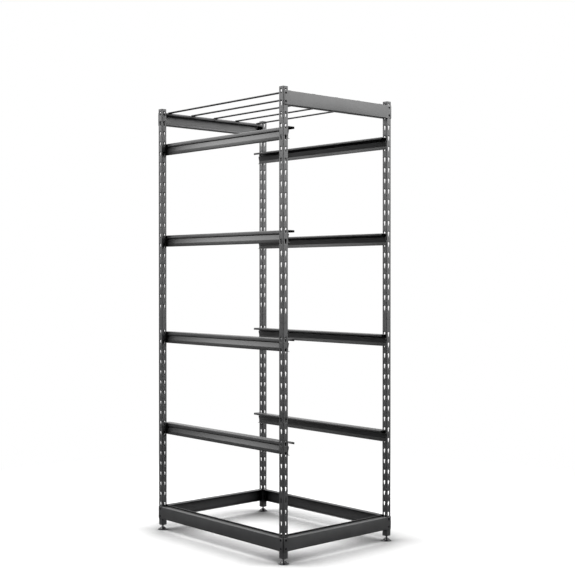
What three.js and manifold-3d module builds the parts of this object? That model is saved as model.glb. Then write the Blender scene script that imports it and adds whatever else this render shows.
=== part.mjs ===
// Tote storage rack of boltless steel shelving: four square posts in two halves each, keyhole punched,
// with clip-on beams at the top and the base, four levels of side rails that carry totes by their
// rims, a deck of crossbars on the top and a screw-in levelling foot under each post.
// Millimetres, +Z up. X is the width, Y the depth (the open loading side faces -Y), and the origin
// is on the floor in the middle of the footprint.
// Every level is counted from the underside of the posts, except in the levelling feet.
import * as THREE from "three";
import { mergeVertices } from "three/addons/utils/BufferGeometryUtils.js";
import Module from "manifold-3d";

const wasm = await Module();
wasm.setup();

// ---------------------------------------------------------------- driving dimensions
const WIDTH = 606; // over the posts, X
const DEPTH = 827; // over the posts, Y
const POST_LENGTH = 1828.8; // with its cap and its foot plug: two halves of 36 in
const HALF_LENGTH = POST_LENGTH / 2;
const FOOT_HEIGHT = 21; // floor to the underside of a post
const TUBE = 25; // square tube, outside
const TUBE_WALL = 1.5;
const TUBE_CORNER = 1.8;
const GAP = 0.3; // between pieces that touch
const POST_X = WIDTH / 2 - TUBE / 2; // middle of a post
const POST_Y = DEPTH / 2 - TUBE / 2;

const KEY_PITCH = 44.66; // keyholes, centre to centre
const KEY_FIRST = 14.2; // top of a post half to the centre of its first keyhole
const KEY_COUNT = 20; // in a post half; the lower half has none in its first place
const KEY_WIDE = 10; // width of the upper end
const KEY_NARROW = 5.6; // width of the lower end
const KEY_UP = 5; // keyhole's centre to its upper end
const KEY_DOWN = 15.6; // keyhole's centre to its lower end
const KEY_SEAT = 12.4; // keyhole's centre down to where a seated rivet lies

const BEAM_SHEET = 2;
const TOP_BEAM_TOP = 1813;
const BASE_PIN = 72.5; // lock pins of the base beams, in round holes of their own

const ROUND = 8; // sides of rivets, lock pins and their holes
const RIVET_SHANK = 2.7; // radii
const RIVET_HEAD = 4;
const RIVET_HEAD_HEIGHT = 1.3; // of the head inside the post
const PIN_SHANK = 3.9;
const PIN_HOLE = 4.4;
const PIN_HEAD = 5;
const THREAD_R = 3.9; // M8 levelling stud

// ---------------------------------------------------------------- helpers
// A closed three.js geometry as a solid that can be joined and cut.
function solid(geometry) {
  const bare = geometry.index ? geometry.toNonIndexed() : geometry.clone();
  bare.deleteAttribute("normal");
  bare.deleteAttribute("uv");
  const merged = mergeVertices(bare, 1e-4);
  return new wasm.Manifold(
    new wasm.Mesh({
      numProp: 3,
      vertProperties: merged.attributes.position.array,
      triVerts: new Uint32Array(merged.index.array),
    }),
  );
}

// A solid as a flat-shaded three.js geometry.
function geometryOf(body) {
  const mesh = body.getMesh();
  const stride = mesh.numProp;
  const positions = new Float32Array(mesh.numVert * 3);
  for (let i = 0; i < mesh.numVert; i++)
    positions.set(mesh.vertProperties.subarray(i * stride, i * stride + 3), i * 3);
  const indexed = new THREE.BufferGeometry();
  indexed.setAttribute("position", new THREE.BufferAttribute(positions, 3));
  indexed.setIndex(new THREE.BufferAttribute(new Uint32Array(mesh.triVerts), 1));
  const flat = indexed.toNonIndexed();
  flat.computeVertexNormals();
  return flat;
}

const join = (solids) => solids.reduce((sum, next) => sum.add(next));
const cut = (body, cutters) => cutters.reduce((rest, cutter) => rest.subtract(cutter), body);

// A box between two opposite corners, given in any order.
function box(corner, opposite) {
  const size = corner.map((value, i) => Math.abs(opposite[i] - value));
  const centre = corner.map((value, i) => (value + opposite[i]) / 2);
  return solid(new THREE.BoxGeometry(...size).translate(...centre));
}

// Turn a prism extruded along Z so that it runs along X (x -> Y, y -> Z)
// or along Y (x -> X, y -> Z).
const ALONG_X = new THREE.Matrix4().set(0, 0, 1, 0, 1, 0, 0, 0, 0, 1, 0, 0, 0, 0, 0, 1);
const ALONG_Y = new THREE.Matrix4().set(1, 0, 0, 0, 0, 0, -1, 0, 0, 1, 0, 0, 0, 0, 0, 1);

function prism(points, from, to, axis = "Z") {
  const shape = new THREE.Shape(points.map(([x, y]) => new THREE.Vector2(x, y)));
  const geometry = new THREE.ExtrudeGeometry(shape, { depth: to - from, bevelEnabled: false });
  if (axis === "X") geometry.translate(0, 0, from).applyMatrix4(ALONG_X);
  else if (axis === "Y") geometry.translate(0, 0, -to).applyMatrix4(ALONG_Y);
  else geometry.translate(0, 0, from);
  return solid(geometry);
}

// The outline of a bent sheet: the path is its outer surface, and the sheet lies on the
// path's right-hand side.
function sheet(path, thickness) {
  const normals = [];
  for (let i = 0; i < path.length - 1; i++) {
    const dx = path[i + 1][0] - path[i][0];
    const dy = path[i + 1][1] - path[i][1];
    const length = Math.hypot(dx, dy);
    normals.push([dy / length, -dx / length]);
  }
  const inner = path.map(([x, y], i) => {
    const before = normals[Math.max(0, i - 1)];
    const after = normals[Math.min(normals.length - 1, i)];
    const reach = thickness / (1 + before[0] * after[0] + before[1] * after[1]);
    return [x + (before[0] + after[0]) * reach, y + (before[1] + after[1]) * reach];
  });
  return [...path, ...inner.reverse()];
}

// A square with rounded corners, steps segments to a corner.
function roundedSquare(side, radius, steps) {
  const offset = side / 2 - radius;
  const points = [];
  for (const [centreX, centreY, startAngle] of [
    [offset, offset, 0],
    [-offset, offset, 90],
    [-offset, -offset, 180],
    [offset, -offset, 270],
  ])
    for (let i = 0; i <= steps; i++) {
      const angle = THREE.MathUtils.degToRad(startAngle + (90 * i) / steps);
      points.push([centreX + radius * Math.cos(angle), centreY + radius * Math.sin(angle)]);
    }
  return points;
}

// A round piece about the Z axis: profile rows are [radius, height], from axis to axis.
function turned(profile, segments) {
  return new THREE.LatheGeometry(
    profile.map(([radius, height]) => new THREE.Vector2(radius, height)),
    segments,
  ).rotateX(Math.PI / 2); // the lathe's axis is +Y, and it becomes +Z
}

// A rivet or pin: profile heights are measured from a point, along a direction into the post.
function aimed(profile, point, into) {
  const turn = new THREE.Quaternion().setFromUnitVectors(
    new THREE.Vector3(0, 0, 1),
    new THREE.Vector3(...into),
  );
  return solid(turned(profile, ROUND).applyQuaternion(turn).translate(...point));
}

// The cutter of a lock pin's hole, along X or Y.
function pinHole(length, axis, centre) {
  const cylinder = new THREE.CylinderGeometry(PIN_HOLE, PIN_HOLE, length, ROUND);
  if (axis === "X") cylinder.rotateZ(Math.PI / 2);
  return solid(cylinder.translate(...centre));
}

// Level of keyhole k, counted down from the top of its post half.
const keyLevel = (halfTop, k) => halfTop - KEY_FIRST - k * KEY_PITCH;

// ---------------------------------------------------------------- posts
// All pieces of a post are drawn with the middle of the tube on the Z axis.
const CAP_PLATE = 2;
const CAP_PLUG = 6; // plug's length below the plate
const FOOT_PLATE = 1.5;
const FOOT_PLUG_TOP = 15;
const PLUG_ROOT = 1; // a plug starts this deep in its plate
const PLUG_SIDE = TUBE - 2 * TUBE_WALL - 2 * GAP; // outside of anything that slides into the tube
const PLUG_CORNER = 1.5;

const SPLICE_DOWN = 50; // sleeve's reach into the lower half
const SPLICE_UP = 33; // and into the upper half
const SPLICE_WALL = 1.5;
const SPLICE_BORE_CORNER = 0.8;
const SPLICE_RIB = 0.8; // height of the rib
const RIB_INSET = 0.3; // tube's outer face to the rib's

function postHalf(bottom, top, keyLevels, holeLevels = []) {
  const outline = roundedSquare(TUBE, TUBE_CORNER, 3);
  const hollow = roundedSquare(TUBE - 2 * TUBE_WALL, TUBE_CORNER - TUBE_WALL, 1);
  const tube = prism(outline, bottom, top).subtract(prism(hollow, bottom - 1, top + 1));
  const cutters = [];
  for (const z of keyLevels) {
    const keyhole = [
      [-KEY_WIDE / 2, z + KEY_UP],
      [-KEY_NARROW / 2, z - KEY_DOWN],
      [KEY_NARROW / 2, z - KEY_DOWN],
      [KEY_WIDE / 2, z + KEY_UP],
    ];
    for (const axis of ["X", "Y"]) cutters.push(prism(keyhole, -TUBE, TUBE, axis));
  }
  for (const z of holeLevels)
    for (const axis of ["X", "Y"]) cutters.push(pinHole(2 * TUBE, axis, [0, 0, z]));
  return cut(tube, cutters);
}

function upperHalf() {
  const keys = Array.from({ length: KEY_COUNT }, (_, k) => keyLevel(POST_LENGTH, k));
  return postHalf(HALF_LENGTH + SPLICE_RIB / 2 + GAP, POST_LENGTH - CAP_PLATE - GAP, keys);
}

function lowerHalf() {
  const keys = Array.from({ length: KEY_COUNT - 1 }, (_, i) => keyLevel(HALF_LENGTH, i + 1));
  const top = HALF_LENGTH - SPLICE_RIB / 2 - GAP;
  return postHalf(FOOT_PLATE + GAP, top, keys, [BASE_PIN]);
}

const plug = (bottom, top) => prism(roundedSquare(PLUG_SIDE, PLUG_CORNER, 1), bottom, top);
const plate = (bottom, top) => prism(roundedSquare(TUBE, TUBE_CORNER, 3), bottom, top);

// A short tube inside both halves, with a rib that keeps it at the joint.
function splice() {
  const rib = prism(
    roundedSquare(TUBE - 2 * RIB_INSET, TUBE_CORNER, 2),
    HALF_LENGTH - SPLICE_RIB / 2,
    HALF_LENGTH + SPLICE_RIB / 2,
  );
  const bore = roundedSquare(PLUG_SIDE - 2 * SPLICE_WALL, SPLICE_BORE_CORNER, 1);
  return plug(HALF_LENGTH - SPLICE_DOWN, HALF_LENGTH + SPLICE_UP)
    .add(rib)
    .subtract(prism(bore, 0, POST_LENGTH));
}

// A plate on the top end of the tube and a plug in it.
function cap() {
  const plateBottom = POST_LENGTH - CAP_PLATE;
  return plate(plateBottom, POST_LENGTH).add(
    plug(plateBottom - CAP_PLUG, plateBottom + PLUG_ROOT),
  );
}

// A plate under the tube and a plug in it, bored for the levelling stud.
function footPlug() {
  const boreRadius = THREAD_R + GAP;
  const bore = new THREE.CylinderGeometry(boreRadius, boreRadius, 40, 16).rotateX(Math.PI / 2);
  return plate(0, FOOT_PLATE)
    .add(plug(FOOT_PLATE - PLUG_ROOT, FOOT_PLUG_TOP))
    .subtract(solid(bore));
}

// ---------------------------------------------------------------- levelling feet
// Heights are counted from the floor; profile rows are [radius, height].
const PAD_R = 19.5;
const PAD_HEIGHT = 12.5;
const PAD_NECK = 8; // radius of the pad's flat top
const SOCKET_R = THREAD_R + 0.4;
const SOCKET_FLOOR = 4.5;
const STUD_BOTTOM = 5;
const STUD_TOP = 47;
const STUD_CHAMFER = [0.9, 1]; // radius, height

function footPad() {
  return turned(
    [
      [0, 0],
      [PAD_R - 1, 0],
      [PAD_R, 1],
      [PAD_R, 3.5],
      [PAD_R - 5, 8],
      [PAD_NECK, PAD_HEIGHT],
      [SOCKET_R, PAD_HEIGHT],
      [SOCKET_R, SOCKET_FLOOR],
      [0, SOCKET_FLOOR],
    ],
    20,
  );
}

function footStud() {
  return turned(
    [
      [0, STUD_BOTTOM],
      [THREAD_R, STUD_BOTTOM],
      [THREAD_R, STUD_TOP - STUD_CHAMFER[1]],
      [THREAD_R - STUD_CHAMFER[0], STUD_TOP],
      [0, STUD_TOP],
    ],
    12,
  );
}

// ---------------------------------------------------------------- rivets and lock pins
// Rows are [radius, height]; heights run from the tab's outer surface into the post.
const WALL_IN = BEAM_SHEET + GAP + TUBE_WALL; // the tube wall's inner surface

// The end of a rivet: its shank through the post's wall and the head behind the wall.
const rivetEnd = (wallIn) => [
  [RIVET_SHANK, wallIn + GAP],
  [RIVET_HEAD, wallIn + GAP],
  [RIVET_HEAD, wallIn + GAP + RIVET_HEAD_HEIGHT],
  [0, wallIn + GAP + RIVET_HEAD_HEIGHT],
];
const BEAM_RIVET = [
  [0, -1.3],
  [RIVET_HEAD - 1, -1.3],
  [RIVET_HEAD, -0.3],
  [RIVET_HEAD, 0.5],
  [RIVET_SHANK, 0.5],
  ...rivetEnd(WALL_IN),
];
const LOCK_PIN = [
  [0, -GAP - 1.2],
  [PIN_HEAD - 1.4, -GAP - 1.2],
  [PIN_HEAD, -GAP - 0.4],
  [PIN_HEAD, -GAP],
  [PIN_SHANK, -GAP],
  [PIN_SHANK, WALL_IN + 2],
  [PIN_SHANK - 1.2, WALL_IN + 4],
  [0, WALL_IN + 4],
];

// ---------------------------------------------------------------- beams
const BEAM_FLANGE = 25;
const FLANGE_DEPTH = GAP + BEAM_SHEET + BEAM_FLANGE; // web's outer surface to a flange's edge
const BODY_CLEARANCE = 0.5; // post's side to the end of a beam's bent body
const TAB_ROOT = 3; // post's side to the start of a tab, inside the body
const TAB_INSET = 0.5; // post's outer corner to the end of a tab
const TAB_HOLE_CUT = 12; // length of the cutter through a tab

// The two ways a beam can run. face is the web's outer surface on the front or left side, post is
// the distance from the beam's middle to a post's, and place turns (along the beam, across it, z)
// into x, y, z. The ends are those at the negative and the positive end of the run.
const RUN_X = {
  axis: "X",
  crossAxis: "Y",
  length: WIDTH,
  face: -DEPTH / 2 - GAP - BEAM_SHEET,
  post: POST_X,
  place: (along, across, z) => [along, across, z],
  ends: ["l", "r"],
};
const RUN_Y = {
  axis: "Y",
  crossAxis: "X",
  length: DEPTH,
  face: -WIDTH / 2 - GAP - BEAM_SHEET,
  post: POST_Y,
  place: (along, across, z) => [across, along, z],
  ends: ["f", "b"],
};

// A beam on the front (RUN_X) or the left (RUN_Y) of the posts, with a tab at each end that is as
// tall as the web. Path points are [depth behind the web's outer surface, level].
function beam({ axis, crossAxis, length, face, post, place }, spec) {
  const { path, webBottom, webTop, rivetLevel, pinLevel } = spec;
  const outline = path.map(([depth, z]) => [face + depth, z]);
  const bodyEnd = length / 2 - TUBE - BODY_CLEARANCE;
  const tabStart = length / 2 - TUBE - TAB_ROOT;
  const tabEnd = length / 2 - TAB_INSET;
  const parts = [prism(sheet(outline, BEAM_SHEET), -bodyEnd, bodyEnd, axis)];
  const holes = [];
  for (const side of [-1, 1]) {
    parts.push(
      box(
        place(side * tabStart, face, webBottom),
        place(side * tabEnd, face + BEAM_SHEET, webTop),
      ),
      aimed(BEAM_RIVET, place(side * post, face, rivetLevel), place(0, 1, 0)),
    );
    holes.push(pinHole(TAB_HOLE_CUT, crossAxis, place(side * post, face, pinLevel)));
  }
  return cut(join(parts), holes);
}

// Crossbar places, and the slots in the top beams that the crossbars' tongues drop into.
const BAR_COUNT = 5;
const BAR_SPACING = 127;
const TONGUE_Y = DEPTH / 2 - 20;
const SLOT_LENGTH = 11; // X
const SLOT_WIDTH = 2.4; // Y
const barX = Array.from({ length: BAR_COUNT }, (_, i) => (i - (BAR_COUNT - 1) / 2) * BAR_SPACING);

function barSlot(x) {
  return box(
    [x - SLOT_LENGTH / 2, -TONGUE_Y - SLOT_WIDTH / 2, TOP_BEAM_TOP - 6],
    [x + SLOT_LENGTH / 2, -TONGUE_Y + SLOT_WIDTH / 2, TOP_BEAM_TOP + 3],
  );
}

const TOP_BEAM_BOTTOM = 1757;
const TOP_BEAM_UPPER_LIP = 12; // turned down at the edge of the upper flange
const TOP_BEAM_LOWER_LIP = 8; // turned up at the edge of the lower flange
const TOP_PIN = keyLevel(POST_LENGTH, 1);

function topBeam() {
  const uncut = beam(RUN_X, {
    path: [
      [FLANGE_DEPTH, TOP_BEAM_BOTTOM + TOP_BEAM_LOWER_LIP],
      [FLANGE_DEPTH, TOP_BEAM_BOTTOM],
      [0, TOP_BEAM_BOTTOM],
      [0, TOP_BEAM_TOP],
      [FLANGE_DEPTH, TOP_BEAM_TOP],
      [FLANGE_DEPTH, TOP_BEAM_TOP - TOP_BEAM_UPPER_LIP],
    ],
    webBottom: TOP_BEAM_BOTTOM,
    webTop: TOP_BEAM_TOP,
    rivetLevel: keyLevel(POST_LENGTH, 0) - KEY_SEAT,
    pinLevel: TOP_PIN,
  });
  return cut(uncut, barX.map(barSlot));
}

const BASE_BOTTOM = 27.9;
const BASE_BOTTOM_FLANGE = 12;
const BASE_LEDGE = 81.8; // the ledge on top of a base beam
const BASE_LIP = 88.5; // top of the lip behind the ledge
const BASE_LEAN = 2.2; // the lip's top leans this much towards the web
// Keeps the outside of the sharp bend clear of the next beam.
const BASE_LIP_DEPTH = FLANGE_DEPTH - BEAM_SHEET - 0.8;
const BASE_BEAM = {
  path: [
    [BASE_BOTTOM_FLANGE, BASE_BOTTOM],
    [0, BASE_BOTTOM],
    [0, BASE_LEDGE],
    [BASE_LIP_DEPTH, BASE_LEDGE],
    [BASE_LIP_DEPTH - BASE_LEAN, BASE_LIP],
  ],
  webBottom: BASE_BOTTOM,
  webTop: BASE_LEDGE,
  rivetLevel: keyLevel(HALF_LENGTH, KEY_COUNT - 1) - KEY_SEAT,
  pinLevel: BASE_PIN,
};

// ---------------------------------------------------------------- tote rails
const RAIL_SHEET = 1.5;
const RAIL_HEIGHT = 49.5;
const RAIL_FLANGE = 34;
const RAIL_INSET = 1; // post's outer face, front or back, to the rail's end
const RAIL_RIVET_DROP = 8; // rail's top to its rivets
const RAIL_HEAD_MIDDLE = 3.4; // rail's post-side plane to the middle of a rivet's head
const RAIL_HEAD_HALF = 1.2; // half the height of that head
// The keyholes that the rails hang in, from the top level down: [top of the post half, keyhole].
const RAIL_KEYS = [
  [POST_LENGTH, 3],
  [POST_LENGTH, 12],
  [HALF_LENGTH, 1],
  [HALF_LENGTH, 10],
];
// Section, as [distance from the post-side plane, level from the rail's top]: the hem, the lower
// band, the main face, the step, the upper strip, the flange and the lip under its edge.
const RAIL_PATH = [
  [9.2, -RAIL_HEIGHT],
  [1.2, -RAIL_HEIGHT],
  [0, -35.5],
  [4, -16.5],
  [0.3, -13.5],
  [0, 0],
  [RAIL_FLANGE, 0],
  [RAIL_FLANGE, -9],
];

// The left rail, on the inner faces of the left posts, with its top at z = 0.
function leftRail() {
  const postSide = -WIDTH / 2 + TUBE + GAP;
  const path = RAIL_PATH.map(([distance, z]) => [postSide + distance, z]);
  const end = DEPTH / 2 - RAIL_INSET;
  // Heights run from the middle of the inner head towards the post.
  const rivet = [
    [0, -RAIL_HEAD_HALF],
    [RIVET_HEAD, -RAIL_HEAD_HALF],
    [RIVET_HEAD, RAIL_HEAD_HALF],
    [RIVET_SHANK, RAIL_HEAD_HALF],
    ...rivetEnd(RAIL_HEAD_MIDDLE + GAP + TUBE_WALL),
  ];
  const rivetX = postSide + RAIL_HEAD_MIDDLE;
  return join([
    prism(sheet(path, RAIL_SHEET), -end, end, "Y"),
    ...[-POST_Y, POST_Y].map((y) => aimed(rivet, [rivetX, y, -RAIL_RIVET_DROP], [-1, 0, 0])),
  ]);
}

// ---------------------------------------------------------------- crossbars
const BAR_WIDTH = 18;
const BAR_HEIGHT = 4;
const BAR_SHEET = 1.2;
const BAR_INSET = 16; // post's outer face to the bar's end
const TONGUE_LENGTH = 10.2; // X
const TONGUE_DROP = 11; // below the top of the beam
const TONGUE_SINK = 0.4; // bar's top to the tongue's top

// A shallow channel, open below, that lies on the flanges of the top beams with a tongue down
// through each slot.
function crossbar(x) {
  const bottom = TOP_BEAM_TOP + GAP;
  const top = bottom + BAR_HEIGHT;
  const left = x - BAR_WIDTH / 2;
  const right = x + BAR_WIDTH / 2;
  const end = DEPTH / 2 - BAR_INSET;
  const path = [
    [left, bottom],
    [left, top],
    [right, top],
    [right, bottom],
  ];
  const tongues = [-TONGUE_Y, TONGUE_Y].map((y) =>
    box(
      [x - TONGUE_LENGTH / 2, y - BAR_SHEET / 2, TOP_BEAM_TOP - TONGUE_DROP],
      [x + TONGUE_LENGTH / 2, y + BAR_SHEET / 2, top - TONGUE_SINK],
    ),
  );
  return join([prism(sheet(path, BAR_SHEET), -end, end, "Y"), ...tongues]);
}

// ---------------------------------------------------------------- materials
const standard = (settings) => new THREE.MeshStandardMaterial(settings);
const coat = standard({ color: 0x3a3b3d, roughness: 0.42, metalness: 0.35 }); // charcoal powder coat
const coatDark = standard({ color: 0x2c2d2f, roughness: 0.42, metalness: 0.35 });
const plastic = standard({ color: 0x141414, roughness: 0.35, metalness: 0 });
const zinc = standard({ color: 0x8d9094, roughness: 0.3, metalness: 0.9 });
const pinSteel = standard({ color: 0x4a4c50, roughness: 0.35, metalness: 0.8 });

// ---------------------------------------------------------------- assembly
const rack = new THREE.Group();
const onPosts = new THREE.Group(); // raises levels above the posts' underside to heights
onPosts.position.z = FOOT_HEIGHT;
rack.add(onPosts);

// Adds a mesh with its own copy of the material, turned about Z.
function put(parent, name, geometry, material, position = [0, 0, 0], turn = 0) {
  const mesh = new THREE.Mesh(geometry, material.clone());
  mesh.name = name;
  mesh.position.set(...position);
  mesh.rotation.z = turn;
  parent.add(mesh);
}

// Adds a piece and its twin on the opposite side of the rack.
function putPair([name, twinName], geometry, material, level = 0) {
  put(onPosts, name, geometry, material, [0, 0, level]);
  put(onPosts, twinName, geometry, material, [0, 0, level], Math.PI);
}

const POST_PIECES = [
  [onPosts, "post_upper_", geometryOf(upperHalf()), coat],
  [onPosts, "post_lower_", geometryOf(lowerHalf()), coat],
  [onPosts, "splice_", geometryOf(splice()), coatDark],
  [onPosts, "cap_", geometryOf(cap()), plastic],
  [onPosts, "foot_plug_", geometryOf(footPlug()), plastic],
  [rack, "foot_pad_", footPad(), plastic],
  [rack, "foot_stud_", footStud(), zinc],
];
for (const [corner, sideX, sideY] of [
  ["front_left", -1, -1],
  ["front_right", 1, -1],
  ["back_left", -1, 1],
  ["back_right", 1, 1],
])
  for (const [parent, prefix, geometry, material] of POST_PIECES)
    put(parent, prefix + corner, geometry, material, [sideX * POST_X, sideY * POST_Y, 0]);

putPair(["top_beam_front", "top_beam_back"], geometryOf(topBeam()), coat);
putPair(["base_beam_front", "base_beam_back"], geometryOf(beam(RUN_X, BASE_BEAM)), coatDark);
putPair(["base_beam_left", "base_beam_right"], geometryOf(beam(RUN_Y, BASE_BEAM)), coatDark);

const railGeometry = geometryOf(leftRail());
RAIL_KEYS.forEach(([halfTop, k], i) => {
  const top = keyLevel(halfTop, k) - KEY_SEAT + RAIL_RIVET_DROP;
  putPair([`rail_left_${i + 1}`, `rail_right_${i + 1}`], railGeometry, coat, top);
});

barX.forEach((x, i) => put(onPosts, `crossbar_${i + 1}`, geometryOf(crossbar(x)), coat));

// Lock pins, one at each end of a beam: [beam, run, 1 on the front or left and -1 opposite, level]
for (const [name, run, inward, level] of [
  ["top_front", RUN_X, 1, TOP_PIN],
  ["top_back", RUN_X, -1, TOP_PIN],
  ["base_front", RUN_X, 1, BASE_PIN],
  ["base_back", RUN_X, -1, BASE_PIN],
  ["base_left", RUN_Y, 1, BASE_PIN],
  ["base_right", RUN_Y, -1, BASE_PIN],
])
  run.ends.forEach((end, i) => {
    const along = i === 0 ? -run.post : run.post;
    const point = run.place(along, inward * run.face, level);
    const pin = aimed(LOCK_PIN, point, run.place(0, inward, 0));
    put(onPosts, `lock_pin_${name}_${end}`, geometryOf(pin), pinSteel);
  });

export default rack;
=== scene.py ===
"""Looks of a tote storage rack of boltless steel shelving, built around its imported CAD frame.

The rack stands on its feet, centred on the origin: X runs left to right, Y front to back, Z up.
Shapes are worked out in millimetres. mesh_of(), turned_to() and place() turn them into metres.
"""
import math

import bmesh
import bpy
from mathutils import Matrix, Vector


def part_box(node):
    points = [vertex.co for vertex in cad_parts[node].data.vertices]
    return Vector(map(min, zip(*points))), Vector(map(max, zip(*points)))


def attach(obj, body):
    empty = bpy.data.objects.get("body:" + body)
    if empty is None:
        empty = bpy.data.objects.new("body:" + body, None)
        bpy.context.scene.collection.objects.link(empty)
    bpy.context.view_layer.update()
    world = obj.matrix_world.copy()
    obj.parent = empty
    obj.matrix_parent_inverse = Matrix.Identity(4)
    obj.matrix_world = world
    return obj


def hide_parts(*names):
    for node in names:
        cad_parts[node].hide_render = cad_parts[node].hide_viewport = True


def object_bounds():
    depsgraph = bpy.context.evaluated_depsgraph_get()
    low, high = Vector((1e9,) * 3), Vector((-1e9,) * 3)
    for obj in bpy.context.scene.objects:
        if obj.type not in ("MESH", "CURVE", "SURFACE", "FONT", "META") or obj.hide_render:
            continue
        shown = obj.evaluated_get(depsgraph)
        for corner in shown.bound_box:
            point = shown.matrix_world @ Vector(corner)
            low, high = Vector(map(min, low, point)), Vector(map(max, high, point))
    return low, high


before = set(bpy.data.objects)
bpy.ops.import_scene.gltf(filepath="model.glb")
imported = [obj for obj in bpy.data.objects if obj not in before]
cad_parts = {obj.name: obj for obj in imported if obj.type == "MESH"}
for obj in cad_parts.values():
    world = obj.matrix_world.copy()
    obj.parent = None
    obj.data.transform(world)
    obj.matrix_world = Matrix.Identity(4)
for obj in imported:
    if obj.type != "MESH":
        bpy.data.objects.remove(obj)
cad_lo, cad_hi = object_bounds()
scene = bpy.context.scene
MM = 0.001

# ------------------------------------------------------------------ driving sizes, mm
TUBE, WALL, CORNER = 25.0, 1.5, 1.8  # a post's side, wall and corner radius
HALF_LENGTH, POST_LENGTH = 914.4, 1828.8  # floor end of the posts to the joint and to the top
KEY_PITCH, KEY_FIRST, KEY_COUNT = 44.66, 14.2, 20
KEY_WIDE_RADIUS, KEY_NARROW_RADIUS = 4.75, 2.8
KEY_DROP = 12.8  # wide end's centre down to the narrow end's centre
BEAM_SHEET, RAIL_SHEET, BAR_SHEET = 2.0, 1.5, 1.2
POST_GAP = 0.3  # between a post and the sheet beside it
RIVET_HEAD, RIVET_SHANK = 4.0, 2.6  # radii
PIN_HEAD, PIN_SHANK = 4.9, 3.8  # radii
X_AXIS, Y_AXIS, Z_AXIS = (1, 0, 0), (0, 1, 0), (0, 0, 1)


def box_mm(node):
    low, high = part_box(node)
    return [c / MM for c in low], [c / MM for c in high]


def middle(node):
    low, high = box_mm(node)
    return (low[0] + high[0]) / 2, (low[1] + high[1]) / 2


# ------------------------------------------------------------------ mesh helpers
def clean(work, sharp=32.0):
    """Faces out, smooth shading with the sharp edges marked."""
    bmesh.ops.recalc_face_normals(work, faces=work.faces)
    limit = math.radians(sharp)
    for face in work.faces:
        face.smooth = True
    for edge in work.edges:
        edge.smooth = len(edge.link_faces) == 2 and edge.calc_face_angle(9.0) < limit


def mesh_of(name, verts, faces, sharp=32.0):
    mesh = bpy.data.meshes.new(name)
    work = bmesh.new()
    made = [work.verts.new((x * MM, y * MM, z * MM)) for x, y, z in verts]
    for face in faces:
        work.faces.new([made[i] for i in face])
    clean(work, sharp)
    work.to_mesh(mesh)
    work.free()
    return mesh


def loose(mesh):
    """An object that is only used to make a mesh."""
    obj = bpy.data.objects.new("tmp_" + mesh.name, mesh)
    scene.collection.objects.link(obj)
    return obj


def carve(base, others, operation):
    """base joined with, or cut by, each of the other meshes, as a new mesh."""
    obj = loose(base)
    tools = [loose(mesh) for mesh in others]
    for tool in tools:
        boolean = obj.modifiers.new("carve", "BOOLEAN")
        boolean.operation, boolean.solver, boolean.object = operation, "MANIFOLD", tool
    depsgraph = bpy.context.evaluated_depsgraph_get()
    depsgraph.update()
    made = bpy.data.meshes.new_from_object(obj.evaluated_get(depsgraph))
    for temporary in [obj, *tools]:
        bpy.data.objects.remove(temporary)
    work = bmesh.new()
    work.from_mesh(made)
    bmesh.ops.remove_doubles(work, verts=work.verts, dist=2e-6)
    bmesh.ops.dissolve_degenerate(work, dist=1e-6, edges=work.edges)
    clean(work)
    work.to_mesh(made)
    work.free()
    return made


def turned_to(mesh, at, axis):
    """Lays a body turned about Z along the axis and sets it at a point."""
    turn = Vector(Z_AXIS).rotation_difference(Vector(axis)).to_matrix().to_4x4()
    mesh.transform(Matrix.Translation([c * MM for c in at]) @ turn)
    return mesh


def aimed(mesh, axes):
    """A copy of a body turned about Z for each named axis."""
    return {side: turned_to(mesh.copy(), (0, 0, 0), axis) for side, axis in axes.items()}


def place(name, mesh, coat, stands_for=None, body="rack", at=(0, 0, 0), turn=0.0):
    """An object of the rack, coated with the named material, in place of a CAD node if given."""
    obj = bpy.data.objects.new(name, mesh)
    scene.collection.objects.link(obj)
    obj.location = [c * MM for c in at]
    obj.rotation_euler = (0, 0, turn)
    # a carved mesh may come with an empty material slot
    if not mesh.materials or mesh.materials[0] is None:
        mesh.materials.clear()
        mesh.materials.append(materials[coat])
    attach(obj, body)
    if stands_for:
        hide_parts(stands_for)


# ------------------------------------------------------------------ general shapes
# Each returns vertices and faces for mesh_of().
def band_faces(first, count, bands):
    """Quads between successive rings of count vertices, the first ring starting at index first."""
    faces = []
    for band in range(bands):
        base = first + band * count
        for i in range(count):
            a, b = base + i, base + (i + 1) % count
            faces.append((a, b, b + count, a + count))
    return faces


def rounded_rectangle(reach_u, reach_v, radius, steps):
    """Outline about (0, 0); the corner arcs are centred at (+-reach_u, +-reach_v)."""
    points = []
    for side_u, side_v, start in ((1, 1, 0), (-1, 1, 90), (-1, -1, 180), (1, -1, 270)):
        for i in range(steps + 1):
            angle = math.radians(start + 90.0 * i / steps)
            u = side_u * reach_u + radius * math.cos(angle)
            v = side_v * reach_v + radius * math.sin(angle)
            points.append((u, v))
    return points


def loft(sections, hollow=None):
    """A closed body through rounded squares (side, corner radius, z).

    A second list, for the hollow, makes it a tube.
    """
    steps = 6
    count = 4 * (steps + 1)
    verts, faces, ends = [], [], []
    for rows in (sections, hollow) if hollow else (sections,):
        first = len(verts)
        for side, radius, z in rows:
            reach = side / 2 - radius
            verts.extend((x, y, z) for x, y in rounded_rectangle(reach, reach, radius, steps))
        faces.extend(band_faces(first, count, len(rows) - 1))
        ends.append((first, len(verts) - count))
    if hollow:
        for outer, inner in zip(*ends):
            for i in range(count):
                j = (i + 1) % count
                faces.append((outer + i, outer + j, inner + j, inner + i))
    else:
        for end in ends[0]:
            faces.append(tuple(range(end, end + count)))
    return verts, faces


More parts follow.
